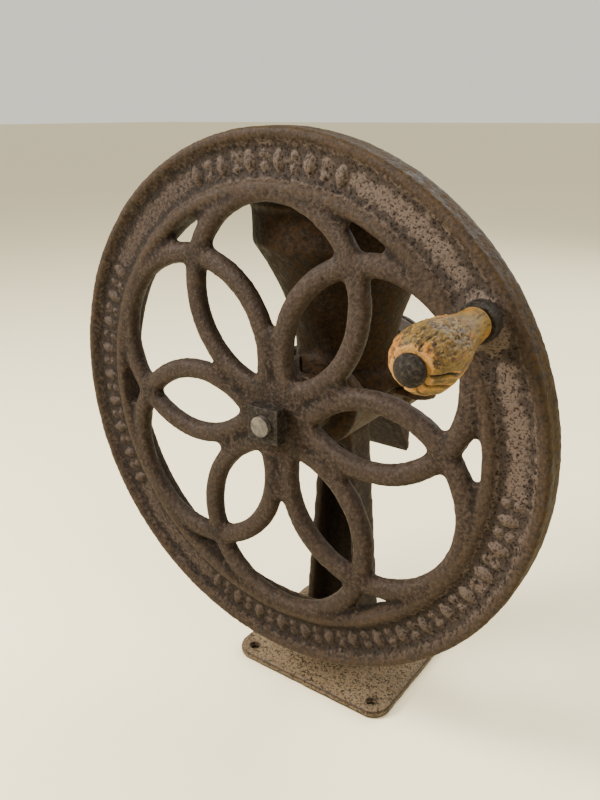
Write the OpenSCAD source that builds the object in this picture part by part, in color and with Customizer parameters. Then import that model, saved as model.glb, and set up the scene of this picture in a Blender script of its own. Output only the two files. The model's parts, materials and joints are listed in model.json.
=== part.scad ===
// Hand-cranked pedestal mill: a flywheel with a grip turns a feed screw and a burr in a cast frame.
// Millimetres. +Z is up, the shaft lies along Y, and the flywheel is on the -Y side.
// The origin is the centre of the foot plate's underside.

/* [Foot plate] */
// Width of the foot plate along X
foot_w = 124; // [116:1:140]
// Length of the foot plate along Y
foot_l = 104; // [98:1:120]
// Thickness of the foot plate
foot_t = 7; // [5:1:10]
// Corner radius of the foot plate
foot_corner_r = 13; // [8:1:16]
// Spacing of the foot holes along X
foot_hole_x = 100; // [92:1:104]
// Spacing of the foot holes along Y
foot_hole_y = 84; // [76:1:86]
// Radius of the foot holes
foot_hole_r = 4; // [3:0.5:5]

/* [Column] */
// Height of the shaft above the table
shaft_h = 212; // [205:1:220]
// Half width of the column where it leaves the foot
column_foot_half = 26; // [22:1:28]
// Half width of the column under the barrel
column_top_half = 11.5; // [9:0.5:13]
// Wall thickness of the channel-shaped column
column_wall = 5.5; // [4:0.5:7]

/* [Flywheel] */
// Outer radius of the flywheel
wheel_r = 159; // [150:1:165]
// Depth of the rim along the shaft
rim_depth = 19; // [16:1:22]
// Distance of the wheel's front plane in front of the origin
wheel_front = 80; // [80:1:84]
// Width of each bar of the ring spokes
spoke_w = 12; // [11:0.5:13]
// Direction of the first ring, anticlockwise from +X as seen from the front
spoke_angle = 32.6; // [0:0.1:60]

/* [Hand grip] */
// Distance of the grip's axis from the shaft
crank_r = 144; // [142:1:146]
// Length of the wooden grip
grip_l = 58; // [50:1:75]
// Largest radius of the wooden grip
grip_r = 14.5; // [13:0.5:17]
// Downward lean of the worn crank spindle, in degrees
grip_lean = 4.5; // [0:0.5:5]

/* [Hopper] */
// Outer radius of the hopper's straight rim
hopper_r = 58; // [52:1:62]
// Height of the hopper's mouth above the table
hopper_top = 331; // [320:1:340]
// Wall thickness of the hopper
hopper_wall = 5; // [4:0.5:6]

/* [Grinding parts] */
// Radius of the bore that the feed screw turns in
barrel_bore_r = 22; // [21.6:0.2:23]
// Radius of the two burrs
burr_r = 28; // [27:0.5:29]
// Gap between the ribs of the two burrs
burr_gap = 0.6; // [0.3:0.1:0.6]

/* [Hidden] */
$fn = 64;

eps = 0.5;            // overrun of a cut past the face it leaves
run_gap = 0.05;       // radial clearance of a part that turns on another
seat_gap = 0.1;       // radial clearance of a part that is only seated in another

// Places along Y
hub_front = -wheel_front;
hub_rear = -50;
boss_front = -48;
barrel_front = -38;
bore_front = -30;
head_front = 34;      // front face of the grinding head's wall
burr_seat = 40;       // face that the fixed burr is screwed to
head_rear = 55;       // joint between the grinding head and its cover
cover_rear = 60;
cover_boss_rear = 76;
lock_nut_t = 6;

// The shaft and what it carries
shaft_r = 8;
journal_r = 6;
shaft_front = -93;
shaft_step = hub_front;
journal_front = 54;
shaft_rear = 66;
button_t = 2;
key_w = 4;
key_top = 10;

// Barrel and head
barrel_r = 30;
head_r = 34.5;
head_cavity_r = 31.5;
boss_r = 17;
bush_r = 12;
seat_z = shaft_h + 2; // flat joint between the frame casting and the hopper
hopper_y = -2.5;
seat_r = 36;
roof_r = 28;
throat_r = 24;
lug_x = 47;
lug_y = 12;
lug_r = 10;
lug_t = 5.5;
hopper_bolt_r = 3;
ear_x = 41;
ear_rise = 8;
ear_r = 8.5;
thumb_r = 3;

// Burrs
burr_plate_t = 5;
burr_rib_h = 1;
burr_ribs = 16;
burr_hole_r = 20;
burr_screw_ring = 24.5;
burr_screw_head = 2.8;
turning_burr_front = burr_seat + burr_plate_t + burr_rib_h + burr_gap;
drive_pin_r = 2;
drive_pin_y = 52;

// Grip
grip_angle = 32.7;
grip_x = crank_r * cos(grip_angle);
grip_z = shaft_h + crank_r * sin(grip_angle);
spindle_r = 4;
rim_boss_h = 3;
collar_t = 8;
shoulder_r = 6.5;     // shoulder of the spindle, seated in the collar
shoulder_t = 2.5;
grip_gap = 1.1;       // room between the collar and the leaning grip
spindle_bend_y = -wheel_front - rim_boss_h - collar_t;

// Puts children on the shaft's axis: local Z runs to +Y and starts at y, local -Y is up.
module on_shaft(y) {
    translate([0, y, shaft_h]) rotate([-90, 0, 0]) children();
}

// The same for any axis parallel to the shaft.
module along_y(x, y, z) {
    translate([x, y, z]) rotate([-90, 0, 0]) children();
}

// Puts children on the leaning axis of the grip: local Z runs inwards and is 0 at the collar's face.
module on_grip(d) {
    translate([grip_x, spindle_bend_y, grip_z]) rotate([grip_lean - 90, 0, 0])
        translate([0, 0, d]) children();
}

// A prism: the outline is drawn in X and Z and runs along Y from y0 to y1.
module prism_xz(points, y0, y1) {
    translate([0, y1, 0]) rotate([90, 0, 0]) linear_extrude(y1 - y0) polygon(points);
}

// A prism: the outline is drawn in Y and Z and is centred on X.
module prism_yz(points, width) {
    translate([-width / 2, 0, 0]) rotate([90, 0, 90]) linear_extrude(width) polygon(points);
}

// ---- Frame casting ----

module foot_plate() {
    corner_x = foot_w / 2 - foot_corner_r;
    corner_y = foot_l / 2 - foot_corner_r;
    difference() {
        hull() {
            for (sx = [-1, 1], sy = [-1, 1]) {
                translate([sx * corner_x, sy * corner_y, 0])
                    cylinder(r = foot_corner_r, h = foot_t, $fn = 32);
            }
        }
        for (sx = [-1, 1], sy = [-1, 1]) {
            translate([sx * foot_hole_x / 2, sy * foot_hole_y / 2, -eps])
                cylinder(r = foot_hole_r, h = foot_t + 2 * eps);
        }
    }
}

column_top_z = shaft_h - barrel_r + 5;
column_y0 = -14.5;
column_y1 = 11;

// Trapezoid of the column's front view, narrowed by inset on each side.
function column_outline(inset) = [
    [-column_foot_half + inset, foot_t - 1 + inset],
    [column_foot_half - inset, foot_t - 1 + inset],
    [column_top_half - inset, column_top_z],
    [-column_top_half + inset, column_top_z]
];

module column() {
    difference() {
        prism_xz(column_outline(0), column_y0, column_y1);
        intersection() {
            prism_xz(column_outline(column_wall), column_y0 - eps, column_y1 - column_wall);
            translate([-foot_w, -foot_l, foot_t + 3])
                cube([2 * foot_w, 2 * foot_l, shaft_h - barrel_r - 12 - foot_t]);
        }
    }
}

chute_floor_t = 4;
chute_top = [36, shaft_h - barrel_r + 2];
chute_end = [58, 143];
chute_wall = 3.5;

function chute_front_view(inset) = [
    [-14 + inset, 190],
    [14 - inset, 190],
    [19 - inset, 138],
    [-19 + inset, 138]
];

module chute_body() {
    intersection() {
        prism_yz([chute_top, chute_end, [61.5, 160], [50, 183]], foot_w);
        prism_xz(chute_front_view(0), 20, 80);
    }
}

module chute_hollow() {
    shift = chute_floor_t;
    intersection() {
        prism_yz([
            [burr_seat + 1, 190],
            [burr_seat + 1, chute_top[1] - shift],
            [chute_end[0] + shift, chute_end[1] - 2],
            [80, 150],
            [head_rear - 1, 190]
        ], foot_w);
        prism_xz(chute_front_view(chute_wall), 20, 80);
    }
}

module frame_casting() {
    color([0.34, 0.26, 0.2])
    difference() {
        union() {
            foot_plate();
            column();
            on_shaft(boss_front) cylinder(r = boss_r, h = barrel_front - boss_front + 2);
            on_shaft(barrel_front) cylinder(r = barrel_r, h = head_front - barrel_front + 1);
            on_shaft(head_front) cylinder(r = head_r, h = head_rear - head_front);
            for (side = [-1, 1]) {
                head_ear(side, burr_seat + 6, head_rear);
                frame_lug(side);
            }
            chute_body();
        }
        // room for the hopper's seat
        translate([0, hopper_y, seat_z]) cylinder(r = seat_r + 0.3, h = barrel_r + 5);
        on_shaft(bore_front) cylinder(r = barrel_bore_r, h = burr_seat - bore_front + eps);
        on_shaft(burr_seat) cylinder(r = head_cavity_r, h = head_rear - burr_seat + eps);
        on_shaft(boss_front - eps) cylinder(r = bush_r, h = bore_front - boss_front + 2 * eps);
        chute_hollow();
        burr_screw_places() cylinder(r = 1.5, h = 8, center = true);
        for (side = [-1, 1]) {
            along_y(side * ear_x, head_rear - 8, shaft_h + ear_rise)
                cylinder(r = thumb_r + seat_gap, h = 8 + eps);
            translate([side * lug_x, lug_y, seat_z - lug_t - eps])
                cylinder(r = hopper_bolt_r + seat_gap, h = lug_t + 2 * eps);
        }
    }
}

// An ear of the grinding head, from y0 to y1, joined to the head by a web.
module head_ear(side, y0, y1) {
    along_y(side * ear_x, y0, shaft_h + ear_rise) cylinder(r = ear_r, h = y1 - y0);
    translate([side > 0 ? head_r - 8 : -ear_x, y0, shaft_h + ear_rise - 7])
        cube([ear_x - head_r + 8, y1 - y0, 14]);
}

// A lug beside the barrel that the hopper is bolted to.
module frame_lug(side) {
    translate([side * lug_x, lug_y, seat_z - lug_t]) cylinder(r = lug_r, h = lug_t);
    translate([side > 0 ? barrel_r - 6 : -lug_x, lug_y - 8, seat_z - lug_t])
        cube([lug_x - barrel_r + 6, 16, lug_t]);
}

// ---- Hopper ----

lug_top_t = 6;

// Outer radius of the bell between the neck and the straight rim, widening as a power curve.
bell_z0 = 236;
bell_z1 = 305;
neck_r = 31.5;
bell_steps = 9;
bell_power = 1.8;
function bell_r(t) = neck_r + (hopper_r - neck_r) * pow(t, bell_power);

function bell(inset) = [
    for (i = [0:bell_steps])
        let (t = i / bell_steps)
        [bell_r(t) - inset, bell_z0 + (bell_z1 - bell_z0) * t]
];

module hopper_shell() {
    lip = 2;
    rotate_extrude()
        polygon(concat(
            [[0, seat_z], [seat_r, seat_z], [seat_r, seat_z + lug_top_t], [seat_r - 2.5, 228], [neck_r, 229]],
            bell(0),
            [[hopper_r, hopper_top - 6], [hopper_r + lip, hopper_top - 4], [hopper_r + lip, hopper_top],
             [0, hopper_top]]
        ));
}

module hopper_inside() {
    bell_points = bell(hopper_wall);
    rotate_extrude()
        polygon(concat(
            [[0, seat_z - eps], [throat_r, seat_z - eps], [throat_r, 226], [neck_r - hopper_wall, 231]],
            bell_points,
            [[hopper_r - hopper_wall, hopper_top + eps], [0, hopper_top + eps]]
        ));
}

module hopper_roof() {
    intersection() {
        on_shaft(-seat_r + hopper_y) cylinder(r = roof_r, h = 2 * seat_r);
        translate([0, hopper_y, seat_z]) cylinder(r = seat_r, h = roof_r);
    }
}

chain_hole_r = 2.5;
chain_hole_angle = 233;
chain_hole_z = 301;

module hopper() {
    color([0.27, 0.19, 0.13])
    difference() {
        union() {
            translate([0, hopper_y, 0]) hopper_shell();
            hopper_roof();
            for (side = [-1, 1]) {
                translate([side * lug_x, lug_y, seat_z]) cylinder(r = lug_r, h = lug_top_t);
                translate([side > 0 ? seat_r - 8 : -lug_x, lug_y - 8, seat_z])
                    cube([lug_x - seat_r + 8, 16, lug_top_t]);
            }
        }
        translate([0, hopper_y, 0]) hopper_inside();
        on_shaft(bore_front) cylinder(r = barrel_bore_r, h = burr_seat - bore_front);
        on_shaft(barrel_front - 5) cylinder(r = bush_r, h = bore_front - barrel_front + 5 + eps);
        for (side = [-1, 1]) {
            translate([side * lug_x, lug_y, seat_z - eps])
                cylinder(r = hopper_bolt_r + seat_gap, h = lug_top_t + 2 * eps);
        }
        translate([0, hopper_y, chain_hole_z]) rotate([0, 90, chain_hole_angle])
            cylinder(r = chain_hole_r, h = hopper_r + 10);
    }
}

module hopper_bolts() {
    color([0.3, 0.25, 0.2])
    for (side = [-1, 1]) {
        translate([side * lug_x, lug_y, seat_z - lug_t])
            cylinder(r = hopper_bolt_r, h = lug_t + lug_top_t + 1);
        translate([side * lug_x, lug_y, seat_z + lug_top_t]) cylinder(r = 6.2, h = 4.5, $fn = 6);
    }
}

// ---- Bearings and thrust parts ----

module front_bush() {
    color([0.6, 0.48, 0.24])
    on_shaft(boss_front) difference() {
        cylinder(r = bush_r - seat_gap, h = bore_front - boss_front);
        translate([0, 0, -eps])
            cylinder(r = shaft_r + run_gap, h = bore_front - boss_front + 2 * eps);
    }
}

rear_bush_l = 10;
rear_bush_r = 9.4;

module rear_bush() {
    color([0.6, 0.48, 0.24])
    on_shaft(head_rear) difference() {
        cylinder(r = rear_bush_r, h = rear_bush_l);
        translate([0, 0, -eps]) cylinder(r = journal_r + run_gap, h = rear_bush_l + 2 * eps);
    }
}

module thrust_button() {
    color([0.5, 0.5, 0.5])
    on_shaft(shaft_rear) difference() {
        cylinder(r = rear_bush_r, h = button_t);
        translate([0, 0, -eps]) cylinder(r = 1.5, h = button_t + 2 * eps);
    }
}

module thrust_washer() {
    color([0.5, 0.45, 0.4])
    on_shaft(hub_rear) difference() {
        cylinder(r = 14, h = boss_front - hub_rear);
        translate([0, 0, -eps])
            cylinder(r = shaft_r + seat_gap, h = boss_front - hub_rear + 2 * eps);
    }
}

// ---- Grinding head ----

module burr_screw_places() {
    for (i = [0:2]) {
        on_shaft(burr_seat) rotate([0, 0, 30 + 120 * i]) translate([burr_screw_ring, 0, 0]) children();
    }
}

module burr_ribs_ring(inner, outer) {
    for (i = [0:burr_ribs - 1]) {
        rotate([0, 0, (i + 0.5) * 360 / burr_ribs]) translate([inner, -1.2, 0])
            cube([outer - inner, 2.4, burr_rib_h]);
    }
}

module fixed_burr() {
    color([0.4, 0.38, 0.36])
    difference() {
        on_shaft(burr_seat) union() {
            cylinder(r = burr_r, h = burr_plate_t);
            translate([0, 0, burr_plate_t]) burr_ribs_ring(burr_hole_r + 1.5, burr_r - 0.5);
        }
        on_shaft(burr_seat - eps)
            cylinder(r = burr_hole_r, h = burr_plate_t + burr_rib_h + 2 * eps);
        burr_screw_places() translate([0, 0, -eps]) cylinder(r = 1.6, h = burr_plate_t + 2 * eps);
        burr_screw_places() translate([0, 0, burr_plate_t - 2])
            cylinder(r = burr_screw_head, h = 2 + burr_rib_h + eps);
    }
}

module fixed_burr_screws() {
    color([0.45, 0.43, 0.4])
    burr_screw_places() {
        translate([0, 0, -3.9]) cylinder(r = 1.4, h = 3.9 + burr_plate_t);
        difference() {
            translate([0, 0, burr_plate_t - 2]) cylinder(r = burr_screw_head - seat_gap, h = 2);
            translate([-4, -0.4, burr_plate_t - 0.7]) cube([8, 0.8, 2]);
        }
    }
}

module rotating_burr() {
    hub_rear_y = 53.6;
    plate_t = 4;
    color([0.42, 0.4, 0.38])
    on_shaft(turning_burr_front) difference() {
        union() {
            burr_ribs_ring(shaft_r + 5, burr_r - 0.5);
            translate([0, 0, burr_rib_h]) cylinder(r = burr_r, h = plate_t);
            cylinder(r = shaft_r + 5.5, h = hub_rear_y - turning_burr_front);
        }
        translate([0, 0, -eps]) cylinder(r = shaft_r + seat_gap, h = 20);
        translate([-20, -drive_pin_r - seat_gap, drive_pin_y - turning_burr_front - drive_pin_r - seat_gap])
            cube([40, 2 * (drive_pin_r + seat_gap), 20]);
    }
}

module burr_drive_pin() {
    color([0.5, 0.48, 0.45])
    translate([-13, drive_pin_y, shaft_h]) rotate([0, 90, 0]) cylinder(r = drive_pin_r, h = 26);
}

module head_cover() {
    spigot_l = 2.5;
    color([0.33, 0.25, 0.19])
    difference() {
        union() {
            on_shaft(head_rear) cylinder(r = head_r, h = cover_rear - head_rear);
            on_shaft(cover_rear - 1) cylinder(r = 14, h = cover_boss_rear - cover_rear + 1);
            on_shaft(head_rear - spigot_l) difference() {
                cylinder(r = head_cavity_r - 0.2, h = spigot_l + 1);
                translate([0, 0, -eps]) cylinder(r = burr_r + 1, h = spigot_l + eps);
            }
            for (side = [-1, 1]) {
                head_ear(side, head_rear, cover_rear);
            }
        }
        // the chute stays open under the cover's spigot
        translate([-12, head_rear - 4, shaft_h - head_r - 1]) cube([24, 4, 12]);
        on_shaft(head_rear - eps) cylinder(r = rear_bush_r + seat_gap, h = 14 + eps);
        on_shaft(head_rear) cylinder(r = adjust_r + run_gap, h = 40);
        for (side = [-1, 1]) {
            along_y(side * ear_x, head_rear - eps, shaft_h + ear_rise)
                cylinder(r = thumb_r + seat_gap, h = cover_rear - head_rear + 2 * eps);
        }
    }
}

// A flat thumb head: its two round lobes stand across the screw's axis, which is local Z.
module thumb_head(reach, thick, height) {
    intersection() {
        translate([-reach, -thick / 2, 0]) cube([2 * reach, thick, height]);
        union() {
            for (side = [-1, 1]) {
                translate([side * (reach - height / 2), 0, height / 2]) rotate([90, 0, 0])
                    cylinder(r = height / 2, h = thick + 2, center = true);
            }
            translate([-reach + height / 2, -thick / 2 - 1, 0])
                cube([2 * reach - height, thick + 2, height * 0.72]);
        }
    }
}

module thumb_screw(side) {
    reach_in = 6;
    along_y(side * ear_x, cover_rear, shaft_h + ear_rise) union() {
        translate([0, 0, head_rear - cover_rear - reach_in])
            cylinder(r = thumb_r, h = cover_rear - head_rear + reach_in + 1);
        cylinder(r = 5.5, h = 5);
        translate([0, 0, 4]) thumb_head(11, 4, 12);
    }
}

module thumb_screw_left() {
    color([0.36, 0.28, 0.2]) thumb_screw(-1);
}

module thumb_screw_right() {
    color([0.36, 0.28, 0.2]) thumb_screw(1);
}

adjust_r = 5;
adjust_l = 20;

module adjusting_screw() {
    color([0.38, 0.3, 0.24])
    on_shaft(shaft_rear + button_t) union() {
        cylinder(r = adjust_r, h = adjust_l);
        translate([0, 0, adjust_l - 3]) cylinder(r = 7, h = 4);
        translate([0, 0, adjust_l]) thumb_head(15, 5, 14);
    }
}

module lock_nut() {
    color([0.38, 0.3, 0.24])
    on_shaft(cover_boss_rear) difference() {
        cylinder(r = 9.2, h = lock_nut_t, $fn = 6);
        translate([0, 0, -eps]) cylinder(r = adjust_r + run_gap, h = lock_nut_t + 2 * eps);
    }
}

// ---- Turning shaft ----

module main_shaft() {
    color([0.45, 0.42, 0.4])
    difference() {
        union() {
            on_shaft(shaft_front) cylinder(r = journal_r, h = shaft_step - shaft_front + 1);
            on_shaft(shaft_step) cylinder(r = shaft_r, h = journal_front - shaft_step);
            on_shaft(journal_front - 1) cylinder(r = journal_r, h = shaft_rear - journal_front + 1);
        }
        key_block(0.05);
        screw_pin_hole(2.0);
        translate([-20, drive_pin_y, shaft_h]) rotate([0, 90, 0]) cylinder(r = drive_pin_r, h = 40);
    }
}

key_front = -76;
key_l = 22;

// The key's block, grown by gap on the sides that are only seated.
module key_block(gap) {
    translate([-key_w / 2 - gap, key_front - gap, shaft_h + journal_r])
        cube([key_w + 2 * gap, key_l + 2 * gap, key_top - journal_r + gap]);
}

module flywheel_key() {
    color([0.5, 0.48, 0.45]) key_block(0);
}

feed_front = -28;
feed_rear = 38;
feed_core_r = 12;
feed_flight_r = 21;
feed_turns = 2.4;
feed_pin_y = feed_front + 5;

module screw_pin_hole(r) {
    translate([0, feed_pin_y, shaft_h - 20]) cylinder(r = r, h = 40);
}

module feed_screw() {
    flight_l = feed_rear - feed_front - 10;
    color([0.4, 0.38, 0.36])
    difference() {
        union() {
            on_shaft(feed_front) cylinder(r = feed_core_r, h = feed_rear - feed_front);
            on_shaft(feed_front + 8)
                linear_extrude(height = flight_l, twist = -360 * feed_turns, slices = 40)
                    polygon(flight_outline());
        }
        on_shaft(feed_front - eps) cylinder(r = shaft_r + seat_gap, h = feed_rear - feed_front + 2 * eps);
        screw_pin_hole(2.1);
    }
}

// Wedge of the flight seen along the shaft.
function flight_outline() = concat(
    [for (a = [-30, 30]) [(feed_core_r - 2) * cos(a), (feed_core_r - 2) * sin(a)]],
    [for (a = [24:-12:-24]) [feed_flight_r * cos(a), feed_flight_r * sin(a)]]
);

module feed_screw_pin() {
    color([0.5, 0.48, 0.45])
    translate([0, feed_pin_y, shaft_h - feed_core_r + 0.5]) cylinder(r = 2, h = 2 * feed_core_r - 1);
}

// ---- Flywheel and grip ----

ring_r = 56;          // centreline radius of each ring spoke
ring_offset = 71;     // distance of a ring's centre from the shaft
ring_inner = ring_r - spoke_w / 2;
ring_outer = ring_r + spoke_w / 2;
spoke_front = 0.5;
spoke_depth = 10;
spoke_disc_r = wheel_r - 32;
hub_r = 19;
cusp_x = 42;          // centre and radius of the pad that fills the cusp between two rings
cusp_r = 9;
rim_gap_r = wheel_r - 36;

module wheel_rim() {
    bead = 9;
    recess = 2.5;
    inner = wheel_r - 35;
    chamfer = 3;
    rotate_extrude()
        polygon([
            [inner, chamfer], [inner + chamfer, 0], [inner + 10 - chamfer, 0], [inner + 10, recess],
            [wheel_r - bead, recess], [wheel_r - bead + chamfer, 0], [wheel_r - chamfer, 0],
            [wheel_r, chamfer], [wheel_r, rim_depth - chamfer], [wheel_r - chamfer, rim_depth],
            [inner + chamfer, rim_depth], [inner, rim_depth - chamfer]
        ]);
}

// A disc of radius r at distance x from the shaft in the direction angle.
module spoke_circle(angle, x, r) {
    rotate(-angle) translate([x, 0]) circle(r = r);
}

// The leaf-shaped opening where two neighbouring rings overlap.
module leaf_gap(angle) {
    intersection() {
        spoke_circle(angle - 30, ring_offset, ring_inner);
        spoke_circle(angle + 30, ring_offset, ring_inner);
    }
}

// The large opening inside one ring, outside both of its neighbours.
module ring_gap(angle) {
    difference() {
        spoke_circle(angle, ring_offset, ring_inner);
        for (side = [-1, 1]) {
            spoke_circle(angle + 60 * side, ring_offset, ring_outer);
        }
        spoke_circle(angle, cusp_x, cusp_r);
    }
}

// The small opening between two rings and the rim.
module rim_gap(angle) {
    difference() {
        intersection() {
            circle(r = rim_gap_r);
            spoke_circle(angle, rim_gap_r, 18);
        }
        for (side = [-1, 1]) {
            spoke_circle(angle + 30 * side, ring_offset, ring_outer);
        }
    }
}

module spokes() {
    linear_extrude(spoke_depth) difference() {
        circle(r = spoke_disc_r);
        for (i = [0:5]) {
            ring_gap(spoke_angle + 60 * i);
            leaf_gap(spoke_angle + 30 + 60 * i);
            rim_gap(spoke_angle + 30 + 60 * i);
        }
    }
}

module flywheel() {
    color([0.42, 0.34, 0.28])
    difference() {
        on_shaft(-wheel_front) union() {
            wheel_rim();
            translate([0, 0, spoke_front]) spokes();
            cylinder(r = hub_r, h = hub_rear - hub_front);
            rotate([0, 0, -grip_angle]) translate([crank_r, 0, -rim_boss_h])
                cylinder(r = 10.5, h = rim_boss_h + 6);
        }
        on_shaft(-wheel_front - 5) cylinder(r = shaft_r + run_gap, h = 60);
        key_block(0.05);
        along_y(grip_x, -wheel_front - 10, grip_z) cylinder(r = spindle_r + seat_gap, h = 40);
    }
}

module flywheel_washer() {
    color([0.4, 0.36, 0.32])
    on_shaft(hub_front - 2) difference() {
        cylinder(r = 10.8, h = 2);
        translate([0, 0, -eps]) cylinder(r = journal_r + seat_gap, h = 2 + 2 * eps);
    }
}

module flywheel_nut() {
    nut_t = 8;
    color([0.36, 0.31, 0.27])
    on_shaft(hub_front - 2 - nut_t) difference() {
        translate([-10.5, -10.5, 0]) cube([21, 21, nut_t]);
        translate([0, 0, -eps]) cylinder(r = journal_r + seat_gap, h = nut_t + 2 * eps);
    }
}

head_h = 4;

// The spindle's shank runs straight through the rim, and its outer part leans down from the shoulder.
module crank_spindle() {
    dome_r = 9;
    head_r = 7;
    dome_drop = sqrt(dome_r * dome_r - head_r * head_r);
    nut_room = 8;
    shank_end = rim_depth - wheel_front + nut_room;
    head_start = -grip_gap - grip_l - 0.3;
    color([0.3, 0.29, 0.3])
    union() {
        along_y(grip_x, spindle_bend_y, grip_z) {
            cylinder(r = shoulder_r, h = shoulder_t);
            translate([0, 0, 1]) cylinder(r = spindle_r, h = shank_end - spindle_bend_y - 1);
        }
        on_grip(head_start) {
            cylinder(r = spindle_r, h = 1 - head_start);
            translate([0, 0, -head_h + 2]) cylinder(r = head_r, h = head_h - 2);
            intersection() {
                translate([0, 0, -head_h + 2 + dome_drop]) sphere(r = dome_r);
                translate([0, 0, -head_h - 6]) cylinder(r = head_r, h = 8);
            }
        }
    }
}

module grip_collar() {
    color([0.25, 0.23, 0.22])
    along_y(grip_x, spindle_bend_y, grip_z) difference() {
        cylinder(r = 9.8, h = collar_t);
        translate([0, 0, -eps]) cylinder(r = spindle_r + seat_gap, h = collar_t + 2 * eps);
        translate([0, 0, -eps]) cylinder(r = shoulder_r + seat_gap, h = shoulder_t + seat_gap + eps);
    }
}

// Radius of the grip at t, from 0 at the wheel to 1 at the outer end.
grip_base_r = 7.9;
grip_steps = 16;
function grip_radius(t) =
    t < 0.72
        ? grip_base_r + (grip_r - grip_base_r) * (1 - cos(180 * t / 0.72)) / 2
        : grip_r * sqrt(1 - 0.42 * pow((t - 0.72) / 0.28, 2));

module wooden_grip() {
    color([0.74, 0.55, 0.29])
    on_grip(-grip_gap - grip_l) difference() {
        rotate_extrude()
            polygon(concat(
                [[0, 0]],
                [for (i = [grip_steps:-1:0]) [grip_radius(i / grip_steps), grip_l * (1 - i / grip_steps)]],
                [[0, grip_l]]
            ));
        translate([0, 0, -eps]) cylinder(r = spindle_r + run_gap, h = grip_l + 2 * eps);
    }
}

module spindle_nut() {
    nut_t = 6;
    color([0.34, 0.29, 0.26])
    along_y(grip_x, rim_depth - wheel_front, grip_z) difference() {
        cylinder(r = 8.5, h = nut_t, $fn = 6);
        translate([0, 0, -eps]) cylinder(r = spindle_r + seat_gap, h = nut_t + 2 * eps);
    }
}

frame_casting();
hopper();
hopper_bolts();
front_bush();
fixed_burr();
fixed_burr_screws();
head_cover();
rear_bush();
thrust_button();
adjusting_screw();
lock_nut();
thumb_screw_left();
thumb_screw_right();
main_shaft();
thrust_washer();
feed_screw();
feed_screw_pin();
rotating_burr();
burr_drive_pin();
flywheel();
flywheel_key();
flywheel_washer();
flywheel_nut();
crank_spindle();
grip_collar();
wooden_grip();
spindle_nut();
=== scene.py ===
"""Looks of the hand-cranked pedestal mill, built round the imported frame.

The large castings and the forged pieces are rusted iron, the grip is cracked wood, and the pieces inside are
worn steel and bronze.
"""

import json
import math

import bpy
import numpy as np
from mathutils import Matrix, Vector, noise


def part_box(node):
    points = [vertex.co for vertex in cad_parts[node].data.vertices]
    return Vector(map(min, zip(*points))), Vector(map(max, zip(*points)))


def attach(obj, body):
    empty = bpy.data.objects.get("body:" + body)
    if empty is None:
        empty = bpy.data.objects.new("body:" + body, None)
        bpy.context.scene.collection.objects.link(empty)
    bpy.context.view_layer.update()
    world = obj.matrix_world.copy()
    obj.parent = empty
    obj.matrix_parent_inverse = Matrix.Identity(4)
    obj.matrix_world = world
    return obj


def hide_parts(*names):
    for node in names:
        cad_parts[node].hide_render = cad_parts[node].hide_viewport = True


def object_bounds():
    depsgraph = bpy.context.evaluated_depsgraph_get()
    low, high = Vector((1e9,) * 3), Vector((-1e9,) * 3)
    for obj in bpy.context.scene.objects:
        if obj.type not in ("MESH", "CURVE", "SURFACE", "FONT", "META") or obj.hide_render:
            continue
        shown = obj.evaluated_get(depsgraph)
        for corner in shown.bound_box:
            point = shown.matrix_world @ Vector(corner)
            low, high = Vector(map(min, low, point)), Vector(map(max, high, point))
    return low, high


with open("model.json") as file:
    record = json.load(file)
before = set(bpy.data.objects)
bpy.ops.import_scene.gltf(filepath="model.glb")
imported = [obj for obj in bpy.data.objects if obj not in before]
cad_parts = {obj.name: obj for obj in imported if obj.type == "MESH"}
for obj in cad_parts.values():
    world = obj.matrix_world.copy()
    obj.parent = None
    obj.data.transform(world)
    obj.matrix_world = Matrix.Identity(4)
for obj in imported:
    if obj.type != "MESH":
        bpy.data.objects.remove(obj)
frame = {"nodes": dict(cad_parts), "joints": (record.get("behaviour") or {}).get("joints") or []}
cad_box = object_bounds()

MM = 0.001
TURN = 2 * math.pi

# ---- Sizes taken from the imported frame, in metres ----

wheel_low, wheel_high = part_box("flywheel")
grip_low, grip_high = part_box("wooden_grip")
shaft_low, shaft_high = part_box("main_shaft")
shaft_z = (shaft_low.z + shaft_high.z) / 2
grip_x = (grip_low.x + grip_high.x) / 2
grip_z = (grip_low.z + grip_high.z) / 2
wheel_r = (wheel_high.x - wheel_low.x) / 2
rim_front = wheel_low.y + 3 * MM
rim_rear = rim_front + 19 * MM


# ---- Mesh helpers ----

def add_object(name, verts, faces):
    mesh = bpy.data.meshes.new(name)
    mesh.from_pydata([tuple(v) for v in verts], [], [tuple(f) for f in faces])
    mesh.validate()
    mesh.update()
    obj = bpy.data.objects.new(name, mesh)
    bpy.context.scene.collection.objects.link(obj)
    return obj


def merge(shells):
    """One list of vertices and one of faces from several (vertices, faces) pairs."""
    verts, faces = [], []
    for shell_verts, shell_faces in shells:
        start = len(verts)
        verts.extend(shell_verts)
        faces.extend([i + start for i in face] for face in shell_faces)
    return verts, faces


def ring_grid(rows, columns):
    """Quads of a grid that closes on itself both ways."""
    return [
        [i * columns + j, i * columns + (j + 1) % columns,
         ((i + 1) % rows) * columns + (j + 1) % columns, ((i + 1) % rows) * columns + j]
        for i in range(rows) for j in range(columns)
    ]


def revolve(profile, centre, steps):
    """A closed outline of (radius, y) points turned about an axis along Y through centre, which is (x, z)."""
    verts = []
    for i in range(steps):
        a = TURN * i / steps
        verts += [(centre[0] + r * math.cos(a), y, centre[1] + r * math.sin(a)) for r, y in profile]
    return verts, ring_grid(steps, len(profile))


def solid_of_turn(outline, centre, steps):
    """An outline that starts and ends beside the axis, turned about it and closed there with two caps."""
    rows = len(outline)
    verts, faces = revolve(outline, centre, steps)
    faces = [f for k, f in enumerate(faces) if k % rows != rows - 1]
    faces.append([i * rows for i in range(steps)])
    faces.append([i * rows + rows - 1 for i in reversed(range(steps))])
    return verts, faces


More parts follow.
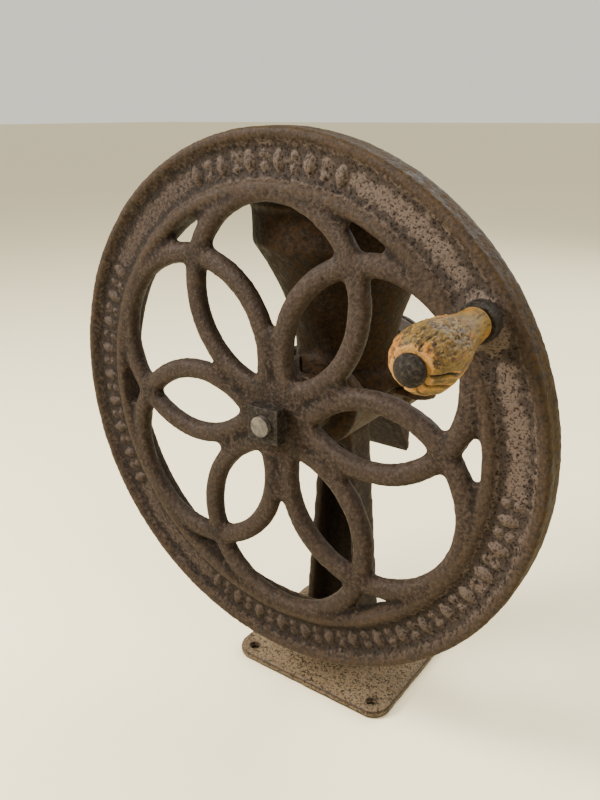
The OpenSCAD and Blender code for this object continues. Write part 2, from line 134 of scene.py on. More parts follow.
def oval(radius, y, half_width, half_depth, points=24):
    """Outline of a bar's section with full round sides, for revolve()."""
    def squarer(c):
        return math.copysign(abs(c) ** 0.8, c)

    return [
        (radius + half_width * squarer(math.cos(TURN * k / points)),
         y + half_depth * squarer(math.sin(TURN * k / points)))
        for k in range(points)
    ]


def apply_modifiers(obj):
    graph = bpy.context.evaluated_depsgraph_get()
    mesh = bpy.data.meshes.new_from_object(obj.evaluated_get(graph))
    obj.modifiers.clear()
    old = obj.data
    obj.data = mesh
    bpy.data.meshes.remove(old)
    mesh.name = obj.name


def voxels(obj, size):
    step = obj.modifiers.new("voxels", "REMESH")
    step.mode = "VOXEL"
    step.voxel_size = size
    step.use_smooth_shade = True


def swell(obj, amount):
    step = obj.modifiers.new("swell", "DISPLACE")
    step.strength = amount
    step.mid_level = 0


def soften(obj, passes):
    step = obj.modifiers.new("soften", "SMOOTH")
    step.iterations = passes
    step.factor = 0.5


def close_corners(obj, size, radius):
    """Fills inside corners with fillets of that radius, as a casting has."""
    voxels(obj, size)
    swell(obj, radius)
    voxels(obj, size)
    swell(obj, -radius)
    voxels(obj, size)


def roughen(obj, name, grain, depth, group=""):
    """Moves the surface in and out by half of depth, in lumps about grain across, within the vertex group."""
    texture = bpy.data.textures.new(name, "CLOUDS")
    texture.noise_scale = grain
    texture.noise_depth = 3
    step = obj.modifiers.new(name, "DISPLACE")
    step.texture = texture
    step.texture_coords = "LOCAL"
    step.strength = depth
    step.mid_level = 0.5
    step.vertex_group = group


def coordinates(mesh):
    co = np.zeros(len(mesh.vertices) * 3)
    mesh.vertices.foreach_get("co", co)
    return co.reshape(-1, 3)


def store(mesh, name, values):
    layer = mesh.attributes.get(name) or mesh.attributes.new(name, "FLOAT", "POINT")
    layer.data.foreach_set("value", np.asarray(values, np.float32))


def vertex_normals(mesh):
    normals = np.zeros(len(mesh.vertices) * 3)
    mesh.vertices.foreach_get("normal", normals)
    return normals.reshape(-1, 3)


def smoothstep(low, high, value):
    t = np.clip((value - low) / (high - low), 0, 1)
    return t * t * (3 - 2 * t)


def mark_relief(obj, passes=8, full=0.35 * MM):
    """Stores how proud each vertex stands of the smoothed surface, from -1 in a hollow to 1 on an edge."""
    mesh = obj.data
    co = coordinates(mesh)
    edges = np.zeros(len(mesh.edges) * 2, int)
    mesh.edges.foreach_get("vertices", edges)
    a, b = edges.reshape(-1, 2).T
    count = np.bincount(np.r_[a, b], minlength=len(co)).clip(1)
    soft = co.copy()
    for _ in range(passes):
        soft = np.stack([
            np.bincount(np.r_[a, b], np.r_[soft[b, k], soft[a, k]], len(co)) / count for k in range(3)
        ], 1)
    proud = ((co - soft) * vertex_normals(mesh)).sum(1)
    store(mesh, "relief", np.clip(proud / full, -1, 1))


def shade_smooth(obj):
    obj.data.polygons.foreach_set("use_smooth", [True] * len(obj.data.polygons))


# ---- Materials ----

class Net:
    """A node tree written as a list of steps, each of which returns the socket that carries its result."""

    def __init__(self, name):
        self.material = bpy.data.materials.new(name)
        self.material.use_nodes = True
        self.tree = self.material.node_tree
        self.shader = self.tree.nodes["Principled BSDF"]
        self.object_place = self.tree.nodes.new("ShaderNodeTexCoord").outputs["Object"]

    def put(self, node, socket, value):
        if isinstance(value, bpy.types.NodeSocket):
            self.tree.links.new(value, node.inputs[socket])
        else:
            node.inputs[socket].default_value = value

    def stretch(self, scale):
        node = self.tree.nodes.new("ShaderNodeMapping")
        self.put(node, "Vector", self.object_place)
        node.inputs["Scale"].default_value = scale
        return node.outputs["Vector"]

    def noise(self, grain, detail=5.0, roughness=0.6, distortion=0.0, place=None):
        node = self.tree.nodes.new("ShaderNodeTexNoise")
        self.put(node, "Vector", place or self.object_place)
        self.put(node, "Scale", 1 / grain)
        self.put(node, "Detail", detail)
        self.put(node, "Roughness", roughness)
        self.put(node, "Distortion", distortion)
        return node.outputs["Fac"]

    def cells(self, grain):
        node = self.tree.nodes.new("ShaderNodeTexVoronoi")
        self.put(node, "Vector", self.object_place)
        self.put(node, "Scale", 1 / grain)
        return node.outputs["Distance"]

    def attribute(self, name):
        node = self.tree.nodes.new("ShaderNodeAttribute")
        node.attribute_name = name
        return node.outputs["Fac"]

    def math(self, kind, a, b=0.0):
        node = self.tree.nodes.new("ShaderNodeMath")
        node.operation = kind
        self.put(node, 0, a)
        self.put(node, 1, b)
        return node.outputs[0]

    def ramp(self, value, low, high, start=0.0, end=1.0):
        """A smooth step from start to end as value goes from low to high."""
        node = self.tree.nodes.new("ShaderNodeMapRange")
        node.interpolation_type = "SMOOTHSTEP"
        self.put(node, "Value", value)
        self.put(node, "From Min", low)
        self.put(node, "From Max", high)
        self.put(node, "To Min", start)
        self.put(node, "To Max", end)
        return node.outputs["Result"]

    def mix(self, share, a, b):
        node = self.tree.nodes.new("ShaderNodeMix")
        node.data_type = "RGBA"
        self.put(node, "Factor", share)
        for socket, value in (("A", a), ("B", b)):
            if isinstance(value, tuple):
                value = (*value, 1.0)
            target = [s for s in node.inputs if s.name == socket and s.type == "RGBA"][0]
            if isinstance(value, bpy.types.NodeSocket):
                self.tree.links.new(value, target)
            else:
                target.default_value = value
        return [s for s in node.outputs if s.type == "RGBA"][0]

    def bump(self, height, distance, strength=1.0):
        node = self.tree.nodes.new("ShaderNodeBump")
        self.put(node, "Height", height)
        self.put(node, "Distance", distance)
        self.put(node, "Strength", strength)
        return node.outputs["Normal"]

    def finish(self, colour, roughness, normal, metallic=0.0):
        self.put(self.shader, "Base Color", colour)
        self.put(self.shader, "Roughness", roughness)
        self.put(self.shader, "Normal", normal)
        self.put(self.shader, "Metallic", metallic)
        return self.material


def srgb(red, green, blue):
    """A colour given in screen values, 0 to 255, in the linear values that the shader takes."""
    return tuple(
        (c / 255 / 12.92) if c < 11 else ((c / 255 + 0.055) / 1.055) ** 2.4
        for c in (red, green, blue)
    )


def shade(colour, share=1.0):
    """A screen colour darkened to that share of its values."""
    return srgb(*[share * c for c in colour])


def rusty_iron(name, dark, middle, light, stain_and_painted_light, pale=(104, 82, 58), speck=0.7, shine=0.16):
    """Pitted cast iron under old rust: mottled browns and dark pits.

    The stored attributes say where it takes ochre staining, where it is rubbed pale, and where it is in a
    hollow or on an edge (relief); on some pieces the ochre and the pale tone are laid on a lit side as painted
    light, and the hollows get painted shade.
    """
    net = Net(name)
    broad = net.noise(38 * MM, 4.0, 0.6, 0.4)
    mottle = net.noise(6 * MM, 7.0, 0.74, 0.3)
    fine = net.noise(2.1 * MM, 3.0, 0.65)
    grit = net.noise(1.2 * MM, 2.0, 0.6)
    pits = net.cells(2.2 * MM)
    pit_share = net.math("MULTIPLY", net.ramp(pits, 0.26, 0.12), net.ramp(net.noise(9 * MM, 4.0), 0.5, 0.62))
    colour = net.mix(net.ramp(mottle, 0.4, 0.6), shade(dark), shade(middle))
    colour = net.mix(net.ramp(fine, 0.46, 0.64, 0.0, 0.75), colour, shade(light))
    colour = net.mix(net.ramp(grit, 0.54, 0.68, 0.0, 0.6), colour, shade(dark, 0.6))
    colour = net.mix(net.ramp(broad, 0.48, 0.7, 0.0, 0.45), colour, shade(dark, 0.8))
    # Ochre staining; where its mask marks a lit side, this ochre is painted warm light.
    stain_and_light_tone = net.mix(net.ramp(net.math("ADD", mottle, fine), 0.82, 1.12), shade(stain_and_painted_light, 0.5), shade(stain_and_painted_light))
    stain_and_light_share = net.math("MULTIPLY", net.attribute("stain_and_painted_light"), net.ramp(mottle, 0.3, 0.55, 0.35, 1.0))
    colour = net.mix(stain_and_light_share, colour, stain_and_light_tone)
    # Pale rubbed places; on the wheel's right side the pale tone is a painted light.
    pale_share = net.math("MULTIPLY", net.attribute("pale"), net.ramp(net.math("ADD", fine, grit), 0.8, 1.06))
    colour = net.mix(pale_share, colour, shade(pale))
    colour = net.mix(net.math("MULTIPLY", pit_share, speck), colour, shade(dark, 0.4))
    relief = net.attribute("relief")
    # Painted shade: the hollows are darkened.
    colour = net.mix(net.ramp(relief, -0.3, -0.95, 0.0, 0.65), colour, shade(dark, 0.5))
    colour = net.mix(net.ramp(relief, 0.3, 0.95, 0.0, 0.25), colour, shade(light))
    height = net.math("ADD", net.math("MULTIPLY", fine, 0.8), net.math("MULTIPLY", mottle, 0.9))
    height = net.math("ADD", height, net.math("MULTIPLY", grit, 0.4))
    height = net.math("SUBTRACT", height, net.math("MULTIPLY", pit_share, 0.6))
    net.shader.inputs["Specular IOR Level"].default_value = shine
    worn = net.math("SUBTRACT", mottle, net.math("MULTIPLY", relief, 0.15))
    roughness = net.ramp(worn, 0.2, 0.75, 0.5, 0.85)
    return net.finish(colour, roughness, net.bump(height, 0.9 * MM, 0.8))


def worn_steel(name, dark, light, roughness, metallic):
    """Machined steel or iron gone grey-brown, with scratches round it and darker patches."""
    net = Net(name)
    patches = net.noise(6 * MM, 6.0, 0.7, 0.4)
    scratch = net.noise(0.6 * MM, 3.0, 0.6, 0.0, net.stretch((1.0, 0.08, 1.0)))
    relief = net.attribute("relief")
    colour = net.mix(net.ramp(patches, 0.35, 0.65), srgb(*dark), srgb(*light))
    colour = net.mix(net.ramp(scratch, 0.45, 0.8, 0.0, 0.4), colour, srgb(*light))
    colour = net.mix(net.ramp(relief, 0.1, 0.8, 0.0, 0.5), colour, srgb(*light))
    rough = net.ramp(patches, 0.3, 0.7, min(1.0, roughness + 0.25), roughness)
    height = net.math("ADD", patches, net.math("MULTIPLY", scratch, 0.4))
    metal = net.ramp(patches, 0.3, 0.6, 0.4 * metallic, metallic)
    return net.finish(colour, rough, net.bump(height, 0.4 * MM, 0.4), metal)


def old_wood():
    """Weathered, greasy wood with long grain along the grip, orange patches, grey dirt in crumbly specks on
    its upper side and outer end, and painted shade in the cracks and hollows.
    """
    net = Net("cracked_grip_wood")
    along = net.stretch((1.0, 0.16, 1.0))
    grain = net.noise(1.6 * MM, 5.0, 0.65, 0.6, along)
    strands = net.noise(0.55 * MM, 3.0, 0.6, 0.2, along)
    patches = net.noise(12 * MM, 4.0, 0.6, 0.5)
    crumbs = net.noise(2.2 * MM, 5.0, 0.75, 0.3)
    relief = net.attribute("relief")
    colour = net.mix(net.ramp(grain, 0.34, 0.62), srgb(52, 37, 11), srgb(104, 80, 28))
    colour = net.mix(net.ramp(strands, 0.52, 0.8, 0.0, 0.5), colour, srgb(130, 106, 48))
    colour = net.mix(net.ramp(patches, 0.52, 0.66, 0.0, 0.7), colour, srgb(142, 84, 22))
    colour = net.mix(net.ramp(patches, 0.48, 0.36, 0.0, 0.6), colour, srgb(72, 58, 19))
    dirt_share = net.math("MULTIPLY", net.ramp(crumbs, 0.48, 0.6), net.attribute("dirt"))
    colour = net.mix(dirt_share, colour, srgb(46, 32, 19))
    # Painted shade: the cracks and hollows are darkened.
    colour = net.mix(net.ramp(relief, -0.1, -0.6), colour, srgb(24, 14, 7))
    colour = net.mix(net.ramp(relief, 0.3, 0.95, 0.0, 0.4), colour, srgb(180, 130, 66))
    height = net.math("ADD", net.math("MULTIPLY", grain, 0.8), net.math("MULTIPLY", strands, 0.5))
    height = net.math("ADD", height, net.math("MULTIPLY", crumbs, 0.7))
    net.shader.inputs["Specular IOR Level"].default_value = 0.2
    return net.finish(colour, net.ramp(patches, 0.3, 0.7, 0.45, 0.68), net.bump(height, 0.8 * MM, 0.7))


# Each iron has the screen values of its dark, middle and light rust, its ochre staining, and its rubbed
# places; on some pieces the ochre and the pale tone also serve as painted light.
wheel_iron = rusty_iron("rusty_wheel_iron", (17, 11, 7), (32, 22, 16), (54, 43, 34), (50, 34, 7), (72, 61, 53),
                        speck=0.4, shine=0.09)
frame_iron = rusty_iron("rusty_frame_iron", (15, 9, 4), (27, 16, 8), (44, 30, 18), (64, 42, 12), (104, 88, 66),
                        speck=0.45)
hopper_iron = rusty_iron("rusty_hopper_iron", (12, 7, 3), (22, 14, 6), (40, 27, 15), (46, 28, 5),
                         shine=0.07)
dark_iron = rusty_iron("dark_forged_iron", (15, 12, 9), (28, 23, 18), (50, 44, 37), (34, 22, 10),
                       speck=0.4, shine=0.1)
burr_metal = worn_steel("burr_iron", (70, 64, 60), (128, 120, 112), 0.5, 0.6)
grey_metal = worn_steel("grey_steel", (92, 84, 76), (150, 144, 136), 0.45, 0.7)
shaft_metal = worn_steel("shaft_steel", (44, 38, 33), (92, 86, 79), 0.42, 0.6)
bronze_metal = worn_steel("bush_bronze", (110, 80, 38), (178, 140, 74), 0.35, 0.9)
wood = old_wood()


def keep_in_box(mesh):
    """Presses stray bumps of the skin back inside the CAD model's box."""
    low, high = cad_box
    inside = np.clip(coordinates(mesh), low, high)
    mesh.vertices.foreach_set("co", inside.astype(np.float32).ravel())
    mesh.update()


def hand_in(obj, body, material, *nodes):
    """Gives a finished piece its material, slot and body, and hides the CAD nodes that it stands for."""
    keep_in_box(obj.data)
    obj.data.materials.clear()
    obj.data.materials.append(material)
    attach(obj, body)
    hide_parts(*nodes)


# ---- Flywheel ----

RIM_WIDTH = 34.5 * MM
RIM_R = wheel_r - 0.4 * MM
BAND_INNER = wheel_r - 25.8 * MM
BAND_OUTER = wheel_r - 9 * MM
BAND_FLOOR = rim_front + 4.4 * MM
RING_R = 56 * MM
RING_OFFSET = 71 * MM
FIRST_RING = math.radians(32.6)
BAR_HALF_WIDTH = 6.2 * MM
BAR_HALF_DEPTH = 5.2 * MM
SPOKE_MID = rim_front + 5.3 * MM
SPOKE_HALF = 4.4 * MM
HUB_BORE = 8.1 * MM
HUB_REAR = -50.3 * MM
CAP_R = 0.4 * MM
WHEEL_POLYGONS = 92000


def polar(radius, angle):
    return radius * math.cos(angle), shaft_z + radius * math.sin(angle)


def rounded_outline(corners, steps=5):
    """A closed (radius, y) outline whose corners, given as (radius, y, rounding), are arcs."""
    points = []
    for k, (r, y, rounding) in enumerate(corners):
        before = Vector(corners[k - 1][:2]) - Vector((r, y))
        after = Vector(corners[(k + 1) % len(corners)][:2]) - Vector((r, y))
        cut = min(rounding, 0.48 * before.length, 0.48 * after.length)
        start = Vector((r, y)) + before.normalized() * cut
        end = Vector((r, y)) + after.normalized() * cut
        for i in range(steps + 1):
            t = i / steps
            p = (1 - t) ** 2 * start + 2 * t * (1 - t) * Vector((r, y)) + t * t * end
            points.append((p.x, p.y))
    return points


def rim_section():
    """Section of the rim: two rounded beads with a recessed band between them, and a plain rear."""
    return rounded_outline([
        (wheel_r - RIM_WIDTH, rim_front, 4 * MM),
        (BAND_INNER - 1.8 * MM, rim_front, 2.5 * MM),
        (BAND_INNER, BAND_FLOOR, 0.8 * MM),
        (BAND_OUTER, BAND_FLOOR, 1.5 * MM),
        (BAND_OUTER + 4.2 * MM, rim_front, 1.5 * MM),
        (RIM_R, rim_front, 2.2 * MM),
        (RIM_R, rim_rear, 4 * MM),
        (wheel_r - RIM_WIDTH, rim_rear, 5 * MM),
    ])


def hub_section():
    """Section of the hub: a flange that the rings run into, and a narrower neck behind it."""
    face, flange_r, neck_r = rim_front + 0.2 * MM, 27 * MM, 18.5 * MM
    return rounded_outline([
        (HUB_BORE, face, 0.5 * MM),
        (16 * MM, face, 3 * MM),
        (flange_r, SPOKE_MID - SPOKE_HALF, 4 * MM),
        (flange_r, SPOKE_MID + 4.5 * MM, 3 * MM),
        (neck_r, SPOKE_MID + 5 * MM, 2 * MM),
        (neck_r, HUB_REAR, 1.5 * MM),
        (HUB_BORE, HUB_REAR, 0.5 * MM),
    ])


def disc(centre, radius, front, rear):
    """A short round pad with rounded edges."""
    edge = 2 * MM
    outline = [(CAP_R, front), (radius - edge, front), (radius, front + edge), (radius, rear - edge),
               (radius - edge, rear), (CAP_R, rear)]
    return solid_of_turn(outline, centre, 40)


def lozenge(angle, radius, half_long, half_wide, rise):
    """A raised pillow with a pointed outline, long in the radial direction, cast on the rim's band."""
    across, levels = 20, 5
    cos, sin = math.cos(angle), math.sin(angle)
    verts, faces = [], []
    for level in range(levels + 1):
        lift = math.sin(0.5 * math.pi * level / levels)
        size = math.cos(0.5 * math.pi * level / levels) ** 0.7 if level < levels else 0.02
        for k in range(across):
            a = TURN * k / across
            u = half_long * size * math.copysign(abs(math.cos(a)) ** 1.4, math.cos(a))
            v = half_wide * size * math.copysign(abs(math.sin(a)) ** 1.4, math.sin(a))
            r = radius + u
            y = BAND_FLOOR + MM - (rise + MM) * lift
            verts.append((r * cos - v * sin, y, shaft_z + r * sin + v * cos))
    for level in range(levels):
        faces += [
            [level * across + k, level * across + (k + 1) % across,
             (level + 1) * across + (k + 1) % across, (level + 1) * across + k]
            for k in range(across)
        ]
    faces.append(list(range(across)))
    faces.append([levels * across + k for k in reversed(range(across))])
    return verts, faces


def rim_ornament():
    """A plain pattern of lozenges and dots, in four arcs along the band."""
    shells = []
    middle = (BAND_INNER + BAND_OUTER) / 2 + 0.2 * MM
    dot_offset = 3.1 * MM
    pitch = math.radians(3.6)
    for start, end in ((73, 112), (150, 211), (248, 330), (337, 355)):
        count = int(math.radians(end - start) / pitch)
        for k in range(count + 1):
            angle = math.radians(start) + k * math.radians(end - start) / count
            if k % 2 == 0:
                shells.append(lozenge(angle, middle, 5.8 * MM, 3.2 * MM, 2.4 * MM))
            else:
                for offset in (-dot_offset, dot_offset):
                    shells.append(lozenge(angle, middle + offset, 1.9 * MM, 1.7 * MM, 1.8 * MM))
    return shells


def rim_boss():
    """The pad that the grip's collar stands on, spread out over the rim."""
    top = rim_front - 3 * MM
    buried = rim_front + 7 * MM
    outline = [(CAP_R, top), (9.6 * MM, top), (10.6 * MM, top + 1.2 * MM), (11.6 * MM, rim_front + 0.4 * MM),
               (15.5 * MM, rim_front + 3 * MM), (15.5 * MM, buried), (CAP_R, buried)]
    return solid_of_turn(outline, (grip_x, grip_z), 48)


def wheel_shells():
    """The rim, the hub, the boss, the six rings, and a web where each pair of rings crosses near the hub."""
    axis = (0.0, shaft_z)
    bar = oval(RING_R, SPOKE_MID, BAR_HALF_WIDTH, BAR_HALF_DEPTH)
    shells = [revolve(rim_section(), axis, 256), revolve(hub_section(), axis, 96), rim_boss()]
    for k in range(6):
        angle = FIRST_RING + k * TURN / 6
        shells.append(revolve(bar, polar(RING_OFFSET, angle), 144))
        shells.append(disc(polar(42 * MM, angle), 10.5 * MM, SPOKE_MID - SPOKE_HALF, SPOKE_MID + SPOKE_HALF))
    return shells


def weather_wheel(mesh):
    """Stores where the wheel takes ochre staining and where it is paler: rubbed pale on the band, and a
    painted light on its right side.
    """
    co = coordinates(mesh)
    up = vertex_normals(mesh)[:, 2]
    radius = np.hypot(co[:, 0], co[:, 2] - shaft_z)
    inward = radius - wheel_r
    angle = np.arctan2(co[:, 2] - shaft_z, co[:, 0])
    outer = smoothstep(wheel_r - 2.5 * MM, wheel_r - 0.8 * MM, radius)
    # More ochre laid on the upward faces near the rim's edge.
    upward_rim = smoothstep(0.25, 0.8, up) * smoothstep(115 * MM, 124 * MM, radius)
    band = smoothstep(-28 * MM, -25 * MM, inward) * smoothstep(-5 * MM, -9 * MM, inward)
    band *= smoothstep(rim_rear, rim_front + 8 * MM, co[:, 1])
    beads = smoothstep(-34 * MM, -31 * MM, inward) * (1 - band)
    # Painted light: the wheel's right side, where the light falls, is made paler.
    painted_light_right = smoothstep(-0.2, 0.9, np.cos(angle - 0.5))
    store(mesh, "stain_and_painted_light", np.clip(0.95 * outer + 0.25 * beads + 0.25 * upward_rim, 0, 1))
    store(mesh, "pale", (0.35 + 0.65 * painted_light_right) * band + 0.15 * painted_light_right * (1 - outer))


def make_flywheel():
    bare = add_object("bare_flywheel", *merge(wheel_shells()))
    close_corners(bare, 1.2 * MM, 1.8 * MM)
    soften(bare, 1)
    apply_modifiers(bare)
    cast = [list(v.co) for v in bare.data.vertices], [list(p.vertices) for p in bare.data.polygons]
    bpy.data.objects.remove(bare)
    wheel = add_object("rusty_flywheel", *merge([cast, *rim_ornament()]))
    voxels(wheel, 1.15 * MM)
    soften(wheel, 1)
    roughen(wheel, "wheel_swell", 12 * MM, 0.6 * MM)
    roughen(wheel, "wheel_scale", 2.8 * MM, 0.6 * MM)
    apply_modifiers(wheel)
    slim = wheel.modifiers.new("slim", "DECIMATE")
    slim.ratio = min(1.0, WHEEL_POLYGONS / len(wheel.data.polygons))
    apply_modifiers(wheel)
    shade_smooth(wheel)
    mark_relief(wheel)
    weather_wheel(wheel.data)
    hand_in(wheel, "rotor", wheel_iron, "flywheel")


# ---- Castings and forged pieces copied from the frame ----

def worn_copy(node, name, size, fillet, passes):
    """A copy of a CAD node's shape with softened edges, and with cast fillets unless fillet is 0.

    Returns it with its vertices' coordinates and their distances from the shaft's axis.
    """
    obj = bpy.data.objects.new(name, frame["nodes"][node].data.copy())
    obj.data.name = name
    bpy.context.scene.collection.objects.link(obj)
    if fillet:
        close_corners(obj, size, fillet)
    else:
        voxels(obj, size)
    soften(obj, passes)
    apply_modifiers(obj)
    co = coordinates(obj.data)
    reach = np.hypot(co[:, 0], co[:, 2] - shaft_z)
    return obj, co, reach


def skin(obj, grain, depth, fitted=None):
    """Gives the surface a cast unevenness, except on the vertices that fitted marks."""
    group = ""
    if fitted is not None:
        group = "skin"
        free = [int(i) for i in np.flatnonzero(~fitted)]
        obj.vertex_groups.new(name=group).add(free, 1.0, "REPLACE")
    roughen(obj, obj.name + "_broad", 3.2 * grain, depth, group)
    roughen(obj, obj.name + "_fine", grain, 0.7 * depth, group)
    apply_modifiers(obj)
    obj.vertex_groups.clear()
    shade_smooth(obj)
    mark_relief(obj)


def make_frame_casting():
    obj, co, reach = worn_copy("frame_casting", "rusty_frame_casting", 1.25 * MM, 2.2 * MM, 2)
    barrel_bore = (reach < 33 * MM) & (co[:, 1] > -32 * MM)
    underside = co[:, 2] < 0.8 * MM
    cover_seat = co[:, 1] > 54 * MM
    skin(obj, 3.4 * MM, 0.7 * MM, barrel_bore | underside | cover_seat)
    co = coordinates(obj.data)
    up = vertex_normals(obj.data)[:, 2]
    plate_top = smoothstep(12 * MM, 8.5 * MM, co[:, 2]) * smoothstep(0.4, 0.9, up)
    plate_side = smoothstep(8 * MM, 6.5 * MM, co[:, 2]) * smoothstep(0.3, 0.1, np.abs(up))
    # Painted light: ochre laid on the grinding housing's right side for the warm light it catches.
    painted_light_barrel = smoothstep(165 * MM, 190 * MM, co[:, 2]) * smoothstep(-10 * MM, 20 * MM, co[:, 0])
    store(obj.data, "pale", 0.85 * plate_top + 0.75 * plate_side)
    store(obj.data, "stain_and_painted_light", np.clip(0.6 * painted_light_barrel + 0.5 * plate_top, 0, 1))
    hand_in(obj, "frame", frame_iron, "frame_casting")


def make_hopper():
    obj, co, reach = worn_copy("hopper", "rusty_hopper", 1.2 * MM, 2.2 * MM, 7)
    neck = reach < 23 * MM
    lugs = co[:, 2] < shaft_z + 3 * MM
    skin(obj, 3.4 * MM, 0.7 * MM, neck | lugs)
    co = coordinates(obj.data)
    # Painted light: more ochre on the hopper's lit right side, below its upper part.
    lit_side = smoothstep(0.0, 50 * MM, co[:, 0]) * smoothstep(300 * MM, 240 * MM, co[:, 2])
    store(obj.data, "stain_and_painted_light", 0.3 + 0.4 * lit_side)
    hand_in(obj, "frame", hopper_iron, "hopper")


def make_head_cover():
    obj, co, reach = worn_copy("head_cover", "rusty_head_cover", 0.9 * MM, 1.2 * MM, 2)
    screw_bore = reach < 10 * MM
    seat = co[:, 1] < 56 * MM
    skin(obj, 3.0 * MM, 0.5 * MM, screw_bore | seat)
    hand_in(obj, "frame", frame_iron, "head_cover")


def make_small_iron(node, body):
    obj = worn_copy(node, "worn_" + node, 0.45 * MM, 0, 3)[0]
    skin(obj, 1.8 * MM, 0.22 * MM)
    hand_in(obj, body, dark_iron, node)


# ---- Wooden grip ----

GRIP_CRACKS = (
    # direction round the grip in degrees, where along it the crack starts, and its depth in millimetres
    (-12, 0.38, 2.0), (-44, 0.12, 2.6), (-70, 0.5, 1.8), (-115, 0.4, 2.0), (155, 0.45, 1.8), (75, 0.7, 1.2),
)


GRIP_BASE_R = 7.9 * MM
GRIP_BORE = 4.05 * MM
GRIP_LENGTH = 58 * MM
GRIP_GAP = 1.1 * MM


def grip_profile(t, full_r):
    """Radius of the turned grip at t, from 0 at the wheel to 1 at the outer end."""
    widest, end_share = 0.76, 0.62
    if t < widest:
        return GRIP_BASE_R + (full_r - GRIP_BASE_R) * (1 - math.cos(math.pi * (t / widest) ** 1.1)) / 2
    return full_r * math.sqrt(1 - (1 - end_share ** 2) * ((t - widest) / (1 - widest)) ** 2)


def crack_depth(t, angle, r, phase, crack):
    """Depth at this place of one meandering crack, in metres."""
    direction, start, deep = crack
    centre = math.radians(direction) + 0.12 * math.sin(6 * t + phase) + 0.04 * math.sin(29 * t + 2 * phase)
    off = abs((angle - centre + math.pi) % TURN - math.pi) * r
    open_share = float(smoothstep(start, start + 0.35, t))
    width = (0.3 + 0.45 * open_share) * MM
    return deep * MM * open_share * math.exp(-(off / width) ** 2)


def grip_dents(t, angle, r):
    """How far the weathered skin stands in or out here, in metres."""
    p = Vector((math.cos(angle) * r, 0.5 * GRIP_LENGTH * t, math.sin(angle) * r)) / MM
    lump = 0.9 * noise.noise(p / 8) + 0.5 * noise.noise(p / 3.4 + Vector((7, 3, 1)))
    crumb = noise.noise(p / 1.4 + Vector((2, 9, 5))) + 0.7 * noise.noise(p / 0.8 + Vector((4, 1, 8)))
    rotten = float(smoothstep(0.1, 0.9, math.sin(angle + 0.5)) * smoothstep(0.3, 0.55, t))
    return MM * ((0.3 + 0.6 * t) * lump + (0.12 + 0.5 * rotten) * crumb)


def make_grip():
    spin = [j for j in frame["joints"] if j["name"] == "grip_spin"][0]
    pivot = Vector(spin["pos_m"])
    outward = -Vector(spin["axis"]).normalized()
    sideways = Vector((1, 0, 0))
    upward = sideways.cross(outward).normalized()
    if upward.z < 0:
        upward = -upward
    full_r = (grip_high.x - grip_low.x) / 2
    around, along = 224, 150
    phases = np.random.default_rng(11).uniform(0, TURN, len(GRIP_CRACKS))

    def place(r, angle, t):
        across = sideways * (r * math.cos(angle)) + upward * (r * math.sin(angle))
        return pivot + outward * (GRIP_GAP + GRIP_LENGTH * t) + across

    def cracks(t, angle, r):
        return sum(crack_depth(t, angle, r, phase, crack) for phase, crack in zip(phases, GRIP_CRACKS))

    def skin_radius(t, angle):
        r = grip_profile(t, full_r)
        fade = float(smoothstep(0, 0.06, t))
        return min(r + fade * grip_dents(t, angle, r) - cracks(t, angle, r), full_r)

    angles = [TURN * j / around for j in range(around)]
    verts = [place(skin_radius(i / along, a), a, i / along) for i in range(along + 1) for a in angles]
    end_radii = [skin_radius(1.0, a) for a in angles]
    for share in (0.93, 0.84, 0.74, 0.62):
        for a, r in zip(angles, end_radii):
            verts.append(place(max(GRIP_BORE, r * share), a, 1.0 - 0.25 * cracks(1.0, a, r) / GRIP_LENGTH))
    for r, t in ((GRIP_BORE, 1.0), (GRIP_BORE, 0.0), (0.97 * GRIP_BASE_R, 0.0)):
        verts += [place(r, a, t) for a in angles]
    rings = len(verts) // around
    obj = add_object("cracked_wooden_grip", verts, ring_grid(rings, around))
    shade_smooth(obj)
    mark_relief(obj, 10, 0.5 * MM)
    rows = np.repeat(np.arange(rings) / along, around)
    height = np.tile(np.sin(angles), rings)
    upper = smoothstep(0.25, 0.6, rows) * smoothstep(-0.5, 0.7, height)
    store(obj.data, "dirt", upper + 0.6 * smoothstep(0.9, 1.0, rows))
    hand_in(obj, "grip", wood, "wooden_grip")


make_flywheel()
make_frame_casting()
make_hopper()
make_head_cover()
make_grip()
for piece, owner in (
    ("crank_spindle", "rotor"), ("grip_collar", "rotor"), ("spindle_nut", "rotor"), ("flywheel_nut", "rotor"),
    ("flywheel_washer", "rotor"), ("adjusting_screw", "regulator"), ("lock_nut", "regulator_lock"),
    ("thumb_screw_left", "left_clamp"), ("thumb_screw_right", "right_clamp"), ("hopper_bolts", "frame"),
):
    make_small_iron(piece, owner)

for material, nodes in (
    (bronze_metal, ("front_bush", "rear_bush")),
    (grey_metal, ("thrust_button", "thrust_washer", "fixed_burr_screws", "flywheel_key", "feed_screw_pin",
                  "burr_drive_pin")),
    (burr_metal, ("fixed_burr", "rotating_burr", "feed_screw")),
    (shaft_metal, ("main_shaft",)),
):
    for node in nodes:
        part = frame["nodes"][node]
        part.data.materials.clear()
        part.data.materials.append(material)


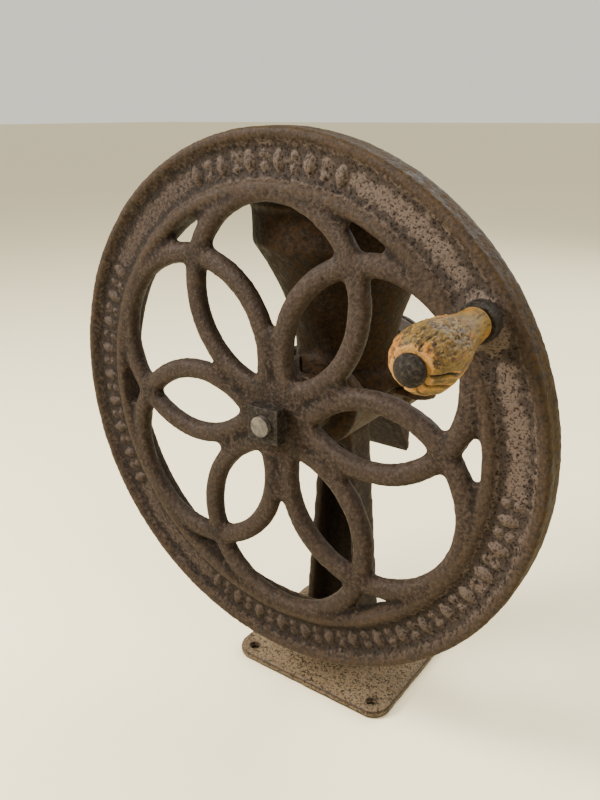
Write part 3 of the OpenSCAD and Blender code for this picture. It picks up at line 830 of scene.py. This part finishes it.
# ---- Stage, light and camera ----

def make_floor():
    half = 30.0
    corners = [(-half, -half, 0), (half, -half, 0), (half, half, 0), (-half, half, 0)]
    floor = add_object("floor", corners, [[0, 1, 2, 3]])
    material = bpy.data.materials.new("pale_floor")
    material.use_nodes = True
    shader = material.node_tree.nodes["Principled BSDF"]
    shader.inputs["Base Color"].default_value = (*srgb(228, 216, 180), 1)
    shader.inputs["Roughness"].default_value = 0.6
    floor.data.materials.append(material)


def area_light(name, place, target, size, power, colour):
    light = bpy.data.lights.new(name, "AREA")
    light.size = size
    light.energy = power
    light.color = colour
    lamp = bpy.data.objects.new(name, light)
    lamp.location = place
    lamp.rotation_euler = (Vector(target) - Vector(place)).to_track_quat("-Z", "Y").to_euler()
    bpy.context.scene.collection.objects.link(lamp)


def make_lights():
    middle = (0.0, 0.0, shaft_z)
    area_light("window_light", (-0.75, -0.85, 0.95), middle, 0.5, 66, (1.0, 0.97, 0.92))
    area_light("room_light", (0.95, -0.35, 1.1), middle, 1.2, 18, (1.0, 0.95, 0.86))
    area_light("rear_light", (0.2, 1.2, 1.2), middle, 1.2, 32, (1.0, 0.98, 0.95))
    world = bpy.data.worlds.new("soft_room")
    world.use_nodes = True
    background = world.node_tree.nodes["Background"]
    background.inputs["Color"].default_value = (*srgb(232, 229, 214), 1)
    background.inputs["Strength"].default_value = 1.2
    bpy.context.scene.world = world


def make_camera():
    camera = bpy.data.cameras.new("camera")
    camera.sensor_width = 36
    camera.lens = 33.75
    camera.clip_start = 0.01
    holder = bpy.data.objects.new("camera", camera)
    holder.location = (0.2438, -0.3940, 0.3759)
    pitch, azimuth, roll = math.radians(90 - 20.9), math.radians(35.6), math.radians(-0.26)
    turn = Matrix.Rotation(azimuth, 3, "Z") @ Matrix.Rotation(pitch, 3, "X") @ Matrix.Rotation(roll, 3, "Z")
    holder.rotation_euler = turn.to_euler()
    bpy.context.scene.collection.objects.link(holder)
    bpy.context.scene.camera = holder


make_floor()
make_lights()
make_camera()
